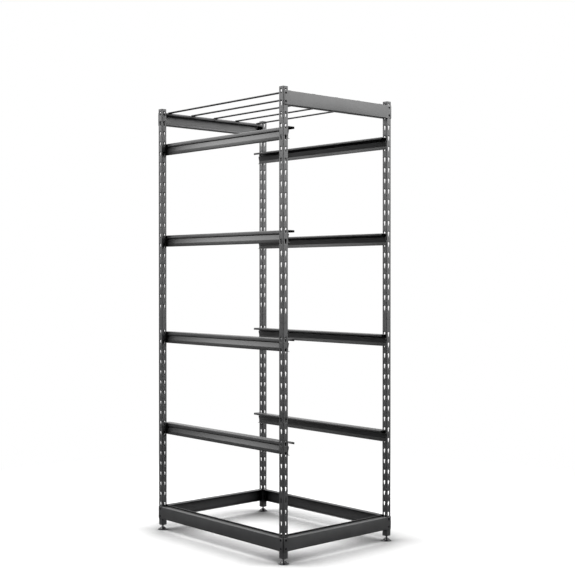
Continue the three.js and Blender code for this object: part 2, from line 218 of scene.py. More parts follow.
def lathe(profile, segments):
    """A body turned about Z from (radius, height) rows that start and end on the axis."""
    verts, faces, rings = [], [], []
    for radius, z in profile:
        first = len(verts)
        if radius < 1e-9:
            verts.append((0, 0, z))
        else:
            for i in range(segments):
                angle = 2 * math.pi * i / segments
                verts.append((radius * math.cos(angle), radius * math.sin(angle), z))
        rings.append(list(range(first, len(verts))))
    for below, above in zip(rings, rings[1:]):
        for i in range(segments):
            j = (i + 1) % segments
            if len(below) == 1:
                faces.append((below[0], above[i], above[j]))
            elif len(above) == 1:
                faces.append((below[i], below[j], above[0]))
            else:
                faces.append((below[i], below[j], above[j], above[i]))
    return verts, faces


def cylinder(radius, length, at, axis, segments=32):
    half = length / 2
    profile = [(0, -half), (radius, -half), (radius, half), (0, half)]
    return turned_to(mesh_of("cylinder", *lathe(profile, segments)), at, axis)


def plate(u_span, v_span, depth_span, normal, radius=2.5, soft=0.35, steps=6):
    """A flat plate with rounded corners and softened edges; normal is X, Y or Z.

    u and v lie in its plane in the order of the axes, and depth goes across it.
    """
    (u0, u1), (v0, v1), (near, far) = u_span, v_span, depth_span
    centre_u, centre_v = (u0 + u1) / 2, (v0 + v1) / 2
    reach_u, reach_v = (u1 - u0) / 2 - radius, (v1 - v0) / 2 - radius
    rows = (  # shrink of the outline, depth
        (soft, near),
        (soft * 0.3, near + soft * 0.3),
        (0, near + soft),
        (0, far - soft),
        (soft * 0.3, far - soft * 0.3),
        (soft, far),
    )
    verts = []
    for shrink, d in rows:
        for du, dv in rounded_rectangle(reach_u, reach_v, radius - shrink, steps):
            u, v = centre_u + du, centre_v + dv
            verts.append({"X": (d, u, v), "Y": (u, d, v), "Z": (u, v, d)}[normal])
    count = 4 * (steps + 1)
    faces = band_faces(0, count, len(rows) - 1)
    faces.append(tuple(range(count)))
    faces.append(tuple(range(len(verts) - count, len(verts))))
    return verts, faces


# ------------------------------------------------------------------ bent sheet
# A path of points is the sheet's outer surface, and the sheet lies on the path's right. Its
# section is a list of (outer point, inner point) pairs.
BEND_STEPS = 5
END_CHAMFER, END_CLOSING = 0.3, 0.11  # length at a cut end, share of the sheet taken off each side


def heading(start, end):
    dx, dy = end[0] - start[0], end[1] - start[1]
    length = math.hypot(dx, dy)
    return dx / length, dy / length, length


def free_edge(path, thickness, at_end):
    """Pairs that round off the first or last edge of the sheet."""
    start, end = path[-2:] if at_end else path[:2]
    x, y = end if at_end else start
    dx, dy, _ = heading(start, end)
    rounding = thickness * 0.3
    inwards = -rounding if at_end else rounding
    pairs = []
    for across, along in ((1, 0), (0.3, 0.35), (0, 1)):  # shares of the rounding
        edge_x, edge_y = x + dx * inwards * along, y + dy * inwards * along
        depths = (rounding * across, thickness - rounding * across)
        pairs.append(tuple((edge_x + dy * depth, edge_y - dx * depth) for depth in depths))
    return pairs[::-1] if at_end else pairs


def bend(before, corner, after, thickness, inside):
    """Pairs round one bend, whose radius on its inner side is inside."""
    ax, ay, length_in = heading(before, corner)
    bx, by, length_out = heading(corner, after)
    angle = math.atan2(ax * by - ay * bx, ax * bx + ay * by)
    half = abs(angle) / 2
    # keep the arc inside its two legs
    longest = 0.45 * min(length_in, length_out) / max(math.tan(half), 1e-6)
    if angle < 0:  # turning towards the sheet, so the path is the outside of the bend
        path_radius = min(inside + thickness, max(longest, thickness + 0.15))
        other_radius = path_radius - thickness
        side = 1
    else:
        path_radius = min(inside, longest)
        other_radius = path_radius + thickness
        side = -1
    tangent = path_radius * math.tan(half)
    to_x, to_y = ay * side, -ax * side  # from the arc's start towards its centre
    centre_x = corner[0] - ax * tangent + to_x * path_radius
    centre_y = corner[1] - ay * tangent + to_y * path_radius
    pairs = []
    for k in range(BEND_STEPS + 1):
        turn = angle * k / BEND_STEPS
        ray_x = -to_x * math.cos(turn) + to_y * math.sin(turn)
        ray_y = -to_x * math.sin(turn) - to_y * math.cos(turn)
        radii = (path_radius, other_radius)
        pairs.append(tuple((centre_x + ray_x * r, centre_y + ray_y * r) for r in radii))
    return pairs


def bent_bar(name, path, thickness, inside, half_length, along):
    """A bent sheet run along X or Y, centred on zero. The cut ends are slightly chamfered."""
    pairs = free_edge(path, thickness, at_end=False)
    for before, corner, after in zip(path, path[1:], path[2:]):
        pairs += bend(before, corner, after, thickness, inside)
    pairs += free_edge(path, thickness, at_end=True)
    section = pairs + [(inner, outer) for outer, inner in reversed(pairs)]
    stations = (  # place along the bar, share of the sheet taken off each side
        (-half_length, END_CLOSING),
        (-half_length + END_CHAMFER, 0.0),
        (0.0, 0.0),
        (half_length - END_CHAMFER, 0.0),
        (half_length, END_CLOSING),
    )
    verts = []
    for station, closing in stations:
        for (u, z), (far_u, far_z) in section:
            u += (far_u - u) * closing
            z += (far_z - z) * closing
            verts.append((station, u, z) if along == "X" else (u, station, z))
    count = len(section)
    faces = band_faces(0, count, len(stations) - 1)
    for base in (0, len(verts) - count):
        for i in range(len(pairs) - 1):
            faces.append((base + i, base + i + 1, base + count - 2 - i, base + count - 1 - i))
    return mesh_of(name, verts, faces)


# ------------------------------------------------------------------ shader helpers
class Shader:
    """Short calls that build a node tree. A value is a number, an RGB tuple or an output."""

    def __init__(self, owner):
        owner.use_nodes = True
        self.tree = owner.node_tree
        self.tree.nodes.clear()

    def node(self, kind, **settings):
        made = self.tree.nodes.new("ShaderNode" + kind)
        for key, value in settings.items():
            setattr(made, key, value)
        return made

    def feed(self, node, key, value):
        socket = node.inputs[key]
        if isinstance(value, (int, float)):
            socket.default_value = value
        elif isinstance(value, tuple):
            socket.default_value = (*value, 1)
        else:
            self.tree.links.new(value, socket)

    def math(self, kind, first, second):
        node = self.node("Math", operation=kind)
        self.feed(node, 0, first)
        self.feed(node, 1, second)
        return node.outputs[0]

    def times(self, value, by):
        return self.math("MULTIPLY", value, by)

    def line(self, value, gain, offset):
        return self.math("ADD", offset, self.times(value, by=gain))

    def weighted(self, first, second, weights):
        first_part = self.times(first, by=weights[0])
        return self.math("ADD", first_part, self.times(second, by=weights[1]))

    def own_coordinates(self):
        """Object coordinates with a random shift for each object, so equal pieces differ."""
        coords = self.node("TexCoord")
        info = self.node("ObjectInfo")
        spread = self.times(info.outputs["Random"], by=37.0)
        shifted = self.node("VectorMath", operation="ADD")
        self.feed(shifted, 0, coords.outputs["Object"])
        self.feed(shifted, 1, spread)
        return shifted.outputs[0]

    def noise(self, coords, scale, detail=2.0, rough=0.5):
        node = self.node("TexNoise")
        self.feed(node, "Scale", scale)
        self.feed(node, "Detail", detail)
        self.feed(node, "Roughness", rough)
        self.feed(node, "Vector", coords)
        return node.outputs["Fac"]

    def ramp(self, value, span, to=(0.0, 1.0), interpolation="LINEAR"):
        """Maps span[0]..span[1] to to[0]..to[1]."""
        node = self.node("MapRange", interpolation_type=interpolation)
        self.feed(node, "From Min", span[0])
        self.feed(node, "From Max", span[1])
        self.feed(node, "To Min", to[0])
        self.feed(node, "To Max", to[1])
        self.feed(node, "Value", value)
        return node.outputs["Result"]

    def mix(self, factor, first, second):
        node = self.node("Mix", data_type="RGBA")
        self.feed(node, 0, factor)
        self.feed(node, 6, first)
        self.feed(node, 7, second)
        return node.outputs[2]

    def bump(self, height, strength, distance, normal):
        node = self.node("Bump")
        self.feed(node, "Strength", strength)
        self.feed(node, "Distance", distance)
        self.feed(node, "Height", height)
        self.feed(node, "Normal", normal)
        return node.outputs["Normal"]

    def soft_edge(self, radius):
        node = self.node("Bevel", samples=4)
        self.feed(node, "Radius", radius)
        return node.outputs["Normal"]

    def edge_mask(self, radius):
        """Near 0 on flat areas, rising along outer and inner edges."""
        geometry = self.node("NewGeometry")
        dot = self.node("VectorMath", operation="DOT_PRODUCT")
        self.feed(dot, 0, self.soft_edge(radius))
        self.feed(dot, 1, geometry.outputs["Normal"])
        return self.ramp(dot.outputs["Value"], span=(0.995, 0.75))

    def occlusion(self, samples, distance):
        node = self.node("AmbientOcclusion", samples=samples)
        self.feed(node, "Distance", distance)
        return node.outputs["AO"]


materials = {}


def new_material(name):
    """The material's shader, its Principled node and its own coordinates."""
    materials[name] = bpy.data.materials.new(name)
    shader = Shader(materials[name])
    output = shader.node("OutputMaterial")
    bsdf = shader.node("BsdfPrincipled")
    shader.feed(output, "Surface", bsdf.outputs["BSDF"])
    return shader, bsdf, shader.own_coordinates()


def tinted(colour, gain, lift=0.0):
    return tuple(c * gain + lift for c in colour)


# ------------------------------------------------------------------ materials
# lighter colour of the coat's edges: partly rubbed wear, partly painted edge highlight
RUBBED_AND_HIGHLIT_COAT = (0.105, 0.105, 0.11)
DUST = (0.32, 0.315, 0.30)
DEEP_SHADE = (0.003, 0.003, 0.0032)
SCUFFED_PLASTIC = (0.11, 0.11, 0.11)
BARE_STEEL = (0.42, 0.42, 0.43)


def powder_coat(name, base, rough=0.36, wear_and_highlight=0.4):
    shader, bsdf, coords = new_material(name)
    broad = shader.noise(coords, scale=2.6, detail=3.0)
    cloud = shader.noise(coords, scale=19.0, detail=4.0, rough=0.6)
    peel = shader.noise(coords, scale=520.0, detail=2.0, rough=0.55)
    grit = shader.noise(coords, scale=2300.0, detail=1.0)
    tone = shader.weighted(broad, cloud, weights=(0.6, 0.4))
    light, dark = tinted(base, gain=1.28, lift=0.001), tinted(base, gain=0.80)
    colour = shader.mix(shader.ramp(tone, span=(0.32, 0.68)), dark, light)
    # painted glints: fine lighter specks in the base colour stand in for the sparkle of the cured
    # powder
    painted_glint = shader.ramp(grit, span=(0.66, 0.80), to=(0.0, 0.35))
    colour = shader.mix(painted_glint, colour, tinted(base, gain=2.1, lift=0.006))
    # rubbed edges, broken up so that they aren't a drawn line; the lighter edge colour is partly
    # real wear and partly a painted highlight along the edges
    edges = shader.edge_mask(radius=0.0011)
    patches = shader.noise(coords, scale=60.0, detail=4.0, rough=0.7)
    edges = shader.times(edges, by=shader.ramp(patches, span=(0.42, 0.62), to=(0.15, 1.0)))
    # worn carries both the rubbed wear and the painted edge highlight into the colour
    worn = shader.times(edges, by=wear_and_highlight)
    colour = shader.mix(worn, colour, RUBBED_AND_HIGHLIT_COAT)
    # dust that settles on faces that look up
    geometry = shader.node("NewGeometry")
    normal = shader.node("SeparateXYZ")
    shader.feed(normal, 0, geometry.outputs["Normal"])
    upward = shader.ramp(normal.outputs["Z"], span=(0.55, 1.0), to=(0.0, 0.07))
    dust = shader.times(upward, by=shader.ramp(cloud, span=(0.35, 0.65), to=(0.3, 1.0)))
    colour = shader.mix(dust, colour, DUST)
    # painted shade: the coat's colour is darkened towards DEEP_SHADE in folds and corners, where
    # little light gets in, by an ambient occlusion mask
    clear = shader.ramp(shader.occlusion(samples=6, distance=0.02), span=(0.50, 0.90))
    colour = shader.mix(clear, DEEP_SHADE, colour)
    shader.feed(bsdf, "Base Color", colour)
    # rougher in clouds and dust, smoother where rubbed
    roughness = shader.line(cloud, gain=0.12, offset=rough - 0.06)
    roughness = shader.math("SUBTRACT", roughness, shader.times(worn, by=0.10))
    roughness = shader.line(dust, gain=1.2, offset=roughness)
    shader.feed(bsdf, "Roughness", roughness)
    shader.feed(bsdf, "Metallic", shader.times(worn, by=0.35))
    # the same painted shade also dulls the reflection and the clear coat in folds and corners
    shader.feed(bsdf, "Specular IOR Level", shader.line(clear, gain=0.49, offset=0.06))
    shader.feed(bsdf, "Coat Weight", shader.times(clear, by=0.12))
    shader.feed(bsdf, "Coat Roughness", 0.30)
    height = shader.weighted(peel, grit, weights=(0.75, 0.25))
    edge = shader.soft_edge(radius=0.0006)
    relief = shader.bump(height, strength=0.22, distance=0.0004, normal=edge)
    shader.feed(bsdf, "Normal", relief)


def moulded(name, base, rough, grain, gloss=False):
    """Moulded plastic; grain is the strength of its fine relief."""
    shader, bsdf, coords = new_material(name)
    cloud = shader.noise(coords, scale=45.0, detail=4.0, rough=0.6)
    fine = shader.noise(coords, scale=1500.0, detail=3.0, rough=0.6)
    light, dark = tinted(base, gain=1.35, lift=0.002), tinted(base, gain=0.8)
    colour = shader.mix(shader.ramp(cloud, span=(0.35, 0.65)), dark, light)
    # scuffed edges
    edges = shader.edge_mask(radius=0.0009)
    patches = shader.noise(coords, scale=210.0, detail=3.0, rough=0.7)
    scuff = shader.times(edges, by=shader.ramp(patches, span=(0.45, 0.65), to=(0.1, 0.6)))
    colour = shader.mix(scuff, colour, SCUFFED_PLASTIC)
    shader.feed(bsdf, "Base Color", colour)
    shader.feed(bsdf, "Roughness", shader.line(cloud, gain=0.10, offset=rough - 0.04))
    shader.feed(bsdf, "Specular IOR Level", 0.5)
    if gloss:
        shader.feed(bsdf, "Coat Weight", 0.5)
        shader.feed(bsdf, "Coat Roughness", 0.12)
    edge = shader.soft_edge(radius=0.0005)
    relief = shader.bump(fine, strength=grain, distance=0.0002, normal=edge)
    shader.feed(bsdf, "Normal", relief)


def plated(name, base, rough):
    shader, bsdf, coords = new_material(name)
    cloud = shader.noise(coords, scale=160.0, detail=4.0, rough=0.65)
    fine = shader.noise(coords, scale=2600.0, detail=2.0)
    light, dark = tinted(base, gain=1.3), tinted(base, gain=0.7)
    colour = shader.mix(shader.ramp(cloud, span=(0.3, 0.7)), dark, light)
    worn = shader.times(shader.edge_mask(radius=0.0004), by=0.6)
    colour = shader.mix(worn, colour, BARE_STEEL)
    shader.feed(bsdf, "Base Color", colour)
    shader.feed(bsdf, "Metallic", 0.9)
    shader.feed(bsdf, "Roughness", shader.line(cloud, gain=0.16, offset=rough - 0.07))
    edge = shader.soft_edge(radius=0.0002)
    relief = shader.bump(fine, strength=0.10, distance=0.0001, normal=edge)
    shader.feed(bsdf, "Normal", relief)


powder_coat("post_coat", base=(0.0200, 0.0203, 0.0212))
powder_coat("beam_coat", base=(0.0200, 0.0203, 0.0211), wear_and_highlight=0.3)
# the rails' coat is the posts' coat painted a little lighter, standing in for light on the rails'
# faces
powder_coat("rail_coat", base=(0.0230, 0.0232, 0.0238), wear_and_highlight=0.35)
powder_coat("bar_coat", base=(0.0090, 0.0091, 0.0095), rough=0.45, wear_and_highlight=0.2)
powder_coat("splice_coat", base=(0.0160, 0.0163, 0.0170), rough=0.5, wear_and_highlight=0.2)
moulded("cap_plastic", base=(0.034, 0.034, 0.035), rough=0.44, grain=0.25)
moulded("plug_plastic", base=(0.022, 0.022, 0.023), rough=0.48, grain=0.25)
moulded("pad_plastic", base=(0.007, 0.007, 0.0075), rough=0.16, grain=0.05, gloss=True)
plated("stud_steel", base=(0.07, 0.07, 0.073), rough=0.34)
plated("pin_steel", base=(0.006, 0.006, 0.0065), rough=0.42)


# ------------------------------------------------------------------ posts
KEY_POINTS = 28
KEY_RIM = ((0.42, 0.0), (0.12, 0.12), (0.0, 0.42), (0.0, WALL))  # growth of the hole, depth
FLAT = TUBE / 2 - CORNER  # half the flat part of a face
COLUMNS = (-FLAT, -3.4, 3.4, FLAT)  # vertices across a face
CORNER_STEPS = 5
FACE_SLOTS = len(COLUMNS) + CORNER_STEPS - 1  # vertices of a face and the corner after it
CELL_BELOW, CELL_ABOVE = 18.4, 7.6  # the cell round a keyhole, from its wide end's centre
CELL_ROWS = (0.0, 0.22, 0.5, 0.78, 1.0)  # shares of the cell's height
AIM_DROP, AIM_SQUASH = 4.5, 0.62  # middle and height scale for matching a cell to its hole
BASE_PIN_HOLE = 4.4  # radius


def keyhole(grow):
    """A teardrop (u, v) about its wide end's centre, anticlockwise from the right flank's top."""
    wide, narrow = KEY_WIDE_RADIUS + grow, KEY_NARROW_RADIUS + grow
    tilt = math.asin((wide - narrow) / KEY_DROP)  # of the flanks
    wide_count = KEY_POINTS // 2 + 2
    narrow_count = KEY_POINTS - wide_count - 4

    def on_wide(angle):
        return wide * math.cos(angle), wide * math.sin(angle)

    def on_narrow(angle):
        return narrow * math.cos(angle), -KEY_DROP + narrow * math.sin(angle)

    def flank(start, end):
        return [
            (start[0] + (end[0] - start[0]) * s, start[1] + (end[1] - start[1]) * s)
            for s in (1 / 3, 2 / 3)
        ]

    left, right = math.pi + tilt, -tilt
    points = []
    for i in range(wide_count):
        points.append(on_wide(right + (math.pi + 2 * tilt) * i / (wide_count - 1)))
    points += flank(on_wide(left), on_narrow(left))
    for i in range(narrow_count):
        points.append(on_narrow(left + (math.pi - 2 * tilt) * i / (narrow_count - 1)))
    points += flank(on_narrow(right), on_wide(right))
    return points


def on_post_face(face, u, depth):
    """A point on a post's face: u along it, depth inwards. Face 0 looks along -Y."""
    x, y = u, -(TUBE / 2 - depth)
    c, s = math.cos(math.pi / 2 * face), math.sin(math.pi / 2 * face)
    return x * c - y * s, x * s + y * c


def post_section(slot, inner):
    """A point of a post's section: each face's columns, then its corner's arc."""
    face, i = divmod(slot, FACE_SLOTS)
    if i < len(COLUMNS):
        return on_post_face(face, COLUMNS[i], WALL if inner else 0.0)
    radius = CORNER - WALL if inner else CORNER
    angle = math.pi / 2 * (i - len(COLUMNS) + 1) / CORNER_STEPS
    across = FLAT + radius * math.sin(angle)
    depth = TUBE / 2 - (FLAT + radius * math.cos(angle))
    return on_post_face(face, across, depth)


class PunchedTube:
    """A square tube with a row of keyholes down each face.

    Rows of vertices share their heights all round, so there is no loose edge. Each keyhole's
    rim rolls in a little, as a punched and coated hole's does.
    """

    def __init__(self, bottom, top, key_heights):
        self.verts, self.faces, self.seen = [], [], {}
        self.levels = [bottom]
        cells = []  # first row and height of each keyhole
        for key in sorted(key_heights):
            cells.append((len(self.levels), key))
            for share in CELL_ROWS:
                self.levels.append(key - CELL_BELOW + (CELL_BELOW + CELL_ABOVE) * share)
        self.levels.append(top)
        self.add_walls({start + i for start, _ in cells for i in range(len(CELL_ROWS) - 1)})
        for start, key in cells:
            for face in range(4):
                self.add_keyhole(start, key, face)

    def vertex(self, row, slot, inner):
        slot %= 4 * FACE_SLOTS
        key = (row, slot, inner)
        if key not in self.seen:
            self.seen[key] = len(self.verts)
            self.verts.append((*post_section(slot, inner), self.levels[row]))
        return self.seen[key]

    def add_walls(self, cell_rows):
        """The outer and inner walls, without the keyhole cells, and the tube's two ends."""
        at = self.vertex
        last = len(self.levels) - 1
        for row in range(last):
            for slot in range(4 * FACE_SLOTS):
                if slot % FACE_SLOTS < len(COLUMNS) - 1 and row in cell_rows:
                    continue
                for inner in (False, True):
                    corners = ((row, slot), (row, slot + 1), (row + 1, slot + 1), (row + 1, slot))
                    quad = [at(*corner, inner) for corner in corners]
                    self.faces.append(quad[::-1] if inner else quad)
        for row in (0, last):
            for slot in range(4 * FACE_SLOTS):
                corners = ((slot, False), (slot + 1, False), (slot + 1, True), (slot, True))
                self.faces.append([at(row, *corner) for corner in corners])

    def add_keyhole(self, start, key, face):
        rings = []
        for grow, depth in KEY_RIM:
            first = len(self.verts)
            for u, v in keyhole(grow):
                self.verts.append((*on_post_face(face, u, depth), key + v))
            rings.append(range(first, first + KEY_POINTS))
        self.faces += band_faces(rings[0][0], KEY_POINTS, len(rings) - 1)
        # the cell's boundary, anticlockwise from the middle of its right side
        left = face * FACE_SLOTS
        right = left + len(COLUMNS) - 1
        last = len(CELL_ROWS) - 1
        boundary = [(start + row, right) for row in range(2, last)]
        boundary += [(start + last, slot) for slot in range(right, left - 1, -1)]
        boundary += [(start + row, left) for row in range(last - 1, 0, -1)]
        boundary += [(start, slot) for slot in range(left, right + 1)]
        boundary += [(start + 1, right)]
        self.fill_cell(boundary, rings[0], key, face, inner=False)
        self.fill_cell(boundary, rings[-1], key, face, inner=True)

    def fill_cell(self, boundary, hole, key, face, inner):
        """Faces between a cell's boundary and the keyhole, matched by direction."""
        ids = [self.vertex(row, slot, inner) for row, slot in boundary]
        mid_x, mid_y = on_post_face(face, 0.0, WALL if inner else 0.0)
        c, s = math.cos(math.pi / 2 * face), math.sin(math.pi / 2 * face)

        def direction(index):
            x, y, z = self.verts[index]
            u = (x - mid_x) * c + (y - mid_y) * s
            return math.atan2((z - (key - AIM_DROP)) * AIM_SQUASH, u)

        hole_angles = [direction(i) for i in hole]

        def nearest(angle):
            def gap(i):
                return abs((hole_angles[i] - angle + math.pi) % (2 * math.pi) - math.pi)

            return min(range(KEY_POINTS), key=gap)

        picks = [nearest(direction(i)) for i in ids]
        for i in range(len(ids)):
            j = (i + 1) % len(ids)
            steps = (picks[j] - picks[i]) % KEY_POINTS
            span = [hole[(picks[j] - step) % KEY_POINTS] for step in range(steps + 1)]
            polygon = [ids[i], ids[j], *span]
            self.faces.append(polygon[::-1] if inner else polygon)


def post_mesh(name, key_heights):
    low, high = box_mm(name + "_front_left")
    tube = PunchedTube(low[2], high[2], key_heights)
    return mesh_of(name, tube.verts, tube.faces)


CORNER_TURNS = {
    "front_left": 0,
    "front_right": math.pi / 2,
    "back_left": -math.pi / 2,
    "back_right": math.pi,
}


def place_on_posts(*parts):
    """Places each (part, suffix, mesh, coat) on the axis of each of the four posts."""
    for corner, turn in CORNER_TURNS.items():
        at = (*middle("post_upper_" + corner), 0)
        for part, suffix, mesh, coat in parts:
            node = f"{part}_{corner}"
            place(f"{node}_{suffix}", mesh, coat, node, at=at, turn=turn)


floor_z = box_mm("foot_plug_front_left")[0][2]  # underside of the posts
base_pin = floor_z + 72.5  # round holes for the lock pins of the base beams, on all four faces
upper_keys = [floor_z + POST_LENGTH - KEY_FIRST - k * KEY_PITCH for k in range(KEY_COUNT)]
lower_keys = [floor_z + HALF_LENGTH - KEY_FIRST - k * KEY_PITCH for k in range(1, KEY_COUNT)]
upper_mesh = post_mesh("post_upper", upper_keys)
lower_mesh = post_mesh("post_lower", lower_keys)
for axis in (X_AXIS, Y_AXIS):
    pin_hole = cylinder(BASE_PIN_HOLE, 2 * TUBE, (0, 0, base_pin), axis)
    lower_mesh = carve(lower_mesh, [pin_hole], "DIFFERENCE")
place_on_posts(
    ("post_upper", "shell", upper_mesh, "post_coat"),
    ("post_lower", "shell", lower_mesh, "post_coat"),
)


# ------------------------------------------------------------------ caps, splices, foot plugs
# Sections are (side, corner radius, z).
def cap():
    low, high = box_mm("cap_front_left")
    under, top = low[2], high[2]
    sections = [
        (18.6, 1.5, under),
        (20.2, 1.6, under + 1.2),
        (21.2, 1.7, under + 2.4),
        (21.4, 1.8, top - 2.0),
        (24.7, 1.7, top - 2.0),
        (TUBE, CORNER, top - 1.8),
        (TUBE, CORNER, top - 0.75),
        (24.7, 1.75, top - 0.35),
        (24.0, 1.65, top - 0.08),
        (23.0, 1.5, top),
    ]
    return mesh_of("cap", *loft(sections))


def splice():
    """A sleeve inside the post, with a thin ridge at the joint between the post's halves."""
    low, high = box_mm("splice_front_left")
    under, top = low[2], high[2]
    joint = floor_z + HALF_LENGTH
    sections = [
        (20.4, 1.5, under),
        (21.2, 1.6, under + 1.0),
        (21.4, 1.6, under + 2.0),
        (21.4, 1.6, joint - 0.4),
        (24.2, 1.7, joint - 0.4),
        (24.4, 1.8, joint),
        (24.2, 1.7, joint + 0.4),
        (21.4, 1.6, joint + 0.4),
        (21.4, 1.6, top - 2.0),
        (21.2, 1.6, top - 1.0),
        (20.4, 1.5, top),
    ]
    return mesh_of("splice", *loft(sections, hollow=[(18.4, 0.9, under), (18.4, 0.9, top)]))


def foot_plug():
    low, high = box_mm("foot_plug_front_left")
    under, top = low[2], high[2]
    sections = [
        (24.0, 1.6, under),
        (24.7, 1.7, under + 0.2),
        (TUBE, CORNER, under + 0.6),
        (TUBE, CORNER, under + 1.3),
        (24.7, 1.7, under + 1.5),
        (21.4, 1.7, under + 1.5),
        (21.4, 1.7, top - 3.0),
        (20.6, 1.6, top - 1.0),
        (19.4, 1.5, top),
    ]
    solid = mesh_of("foot_plug", *loft(sections))
    bore = cylinder(4.2, 60, (0, 0, under), Z_AXIS, segments=48)
    # a chamfered mouth for the screw
    mouth = mesh_of("mouth", *lathe([(0, -1), (6.4, -1), (4.15, 1.25), (0, 1.25)], 48))
    return carve(solid, [bore, turned_to(mouth, (0, 0, under), Z_AXIS)], "DIFFERENCE")


place_on_posts(
    ("cap", "moulding", cap(), "cap_plastic"),
    ("splice", "sleeve", splice(), "splice_coat"),
    ("foot_plug", "moulding", foot_plug(), "plug_plastic"),
)


# ------------------------------------------------------------------ levelling feet
def foot_pad():
    low, high = box_mm("foot_pad_front_left")
    rim, top = (high[0] - low[0]) / 2, high[2]
    shoulder, shoulder_z = rim - 1.9, 4.35
    neck, neck_z = 8.2, top - 1.6
    profile = [
        (0, 0.6), (12.0, 0.6), (12.6, 0.0), (rim - 1.6, 0.0), (rim - 0.7, 0.25),
        (rim - 0.2, 0.8), (rim, 1.5), (rim, 2.7), (rim - 0.25, 3.35), (rim - 0.9, 3.9),
        (shoulder, shoulder_z),
    ]
    # a shoulder that sweeps up to the socket
    for i in range(1, 10):
        t = i / 9
        z = shoulder_z + (neck_z - shoulder_z) * t**1.35
        profile.append((shoulder - (shoulder - neck) * t, z))
    profile += [
        (8.0, top - 0.8), (7.6, top - 0.25), (7.0, top), (5.2, top),
        (4.6, top - 0.35), (4.35, top - 0.9), (4.35, 4.5), (0, 4.5),
    ]
    return mesh_of("foot_pad", *lathe(profile, 72))


def foot_stud():
    """A right-hand screw: the radius follows a rounded thread that runs out at both ends."""
    low, high = box_mm("foot_stud_front_left")
    bottom, top = low[2], high[2]
    crest, root, pitch = (high[0] - low[0]) / 2, 3.3, 1.25
    around, per_pitch = 36, 9
    run_in, run_out = 2.2, 0.9  # heights over which the thread grows and fades
    shank = crest * 0.985  # radius of the plain end near the pad
    rows = int((top - bottom) / (pitch / per_pitch))
    verts = [(0, 0, bottom)]
    for j in range(rows + 1):
        z = bottom + (top - bottom) * j / rows
        fade = min(1.0, (z - bottom) / run_in, (top - z) / run_out) if 0 < j < rows else 0.0
        for i in range(around):
            angle = 2 * math.pi * i / around
            phase = (z / pitch - angle / (2 * math.pi)) % 1.0
            thread = 1 - abs(phase * 2 - 1)
            thread = min(1.0, max(0.0, (thread - 0.10) / 0.78))
            if z - bottom < run_in:
                radius = shank + (root + (crest - root) * thread - shank) * fade
            else:
                # cut a little deeper where it fades into the tip's chamfer
                core = root - 0.25 if fade >= 1 else root - 0.35
                radius = core + (crest - core) * thread * fade
            verts.append((radius * math.cos(angle), radius * math.sin(angle), z))
    verts.append((0, 0, top))
    faces = band_faces(1, around, rows)
    tip, last = len(verts) - 1, 1 + rows * around
    for i in range(around):
        j = (i + 1) % around
        faces.append((0, 1 + j, 1 + i))
        faces.append((tip, last + i, last + j))
    return mesh_of("foot_stud", verts, faces, sharp=50)


pad_mesh, stud_mesh = foot_pad(), foot_stud()
for corner in CORNER_TURNS:
    at = (*middle("foot_pad_" + corner), 0)
    pad, stud = "foot_pad_" + corner, "foot_stud_" + corner
    place(pad + "_moulding", pad_mesh, "pad_plastic", pad, body="pad_" + corner, at=at)
    place(stud + "_screw", stud_mesh, "stud_steel", stud, body="stud_" + corner, at=at)

# ------------------------------------------------------------------ beam rivets and lock pins
# Profiles are (radius, height), heights along the axis into the post from the web's outer surface.
GRIP = BEAM_SHEET + POST_GAP + WALL
RIVET_PROFILE = [
    (0, -0.15), (1.5, -0.15), (1.75, -0.35), (2.05, -0.95), (2.35, -1.22), (2.75, -1.3),
    (3.3, -1.18), (3.75, -0.8), (RIVET_HEAD, -0.3), (RIVET_HEAD, -0.02),
    (RIVET_SHANK, -0.02), (RIVET_SHANK, GRIP + 0.3), (3.6, GRIP + 0.3),
    (RIVET_HEAD, GRIP + 0.6), (3.7, GRIP + 1.3), (2.6, GRIP + 1.6), (0, GRIP + 1.6),
]
PIN_PROFILE = [
    (0, -1.0), (1.1, -1.0), (1.5, -1.1), (1.9, -1.42), (2.4, -1.5), (3.4, -1.42),
    (4.2, -1.15), (4.7, -0.75), (PIN_HEAD, -0.4), (PIN_HEAD, -0.3),
    (PIN_SHANK, -0.3), (PIN_SHANK, GRIP + 1.2), (PIN_SHANK - 0.25, GRIP + 2.0),
    (PIN_SHANK - 1.2, GRIP + 3.6), (0, GRIP + 4.0),
]
INTO_POST = {"front": (0, 1, 0), "back": (0, -1, 0), "left": (1, 0, 0), "right": (-1, 0, 0)}
rivets = aimed(mesh_of("rivet", *lathe(RIVET_PROFILE, 32)), INTO_POST)
pins = aimed(mesh_of("lock_pin", *lathe(PIN_PROFILE, 36)), INTO_POST)

# ------------------------------------------------------------------ beams
left_face, front_face, _ = box_mm("post_upper_front_left")[0]  # the posts' outermost planes
half_width = (box_mm("post_upper_front_right")[1][0] - left_face) / 2
half_depth = (box_mm("post_upper_back_right")[1][1] - front_face) / 2
post_x, post_y = (abs(c) for c in middle("post_upper_front_left"))
web_y = front_face - POST_GAP - BEAM_SHEET  # outer surface of the front beams' webs
web_x = left_face - POST_GAP - BEAM_SHEET  # outer surface of the left beam's web

BODY_CLEARANCE = 0.5  # folded part of a beam to the post's side
TAB_SHORT, TAB_OVERLAP = 0.5, 6.0  # tab's end inside the post's far side, tab past its near side
FLANGE = POST_GAP + BEAM_SHEET + TUBE  # web's outer surface to a flange's edge
top_low, top_high = floor_z + 1757.0, floor_z + 1813.0
base_low, base_ledge, base_lip = floor_z + 27.9, floor_z + 81.8, floor_z + 88.5
LIP_IN, LIP_LEAN = FLANGE - BEAM_SHEET - 0.8, 2.2

RIVET_DROP = 12.4  # below the centre of a keyhole's wide end
top_rivet = upper_keys[0] - RIVET_DROP
top_pin = upper_keys[1]
base_rivet = lower_keys[-1] - RIVET_DROP

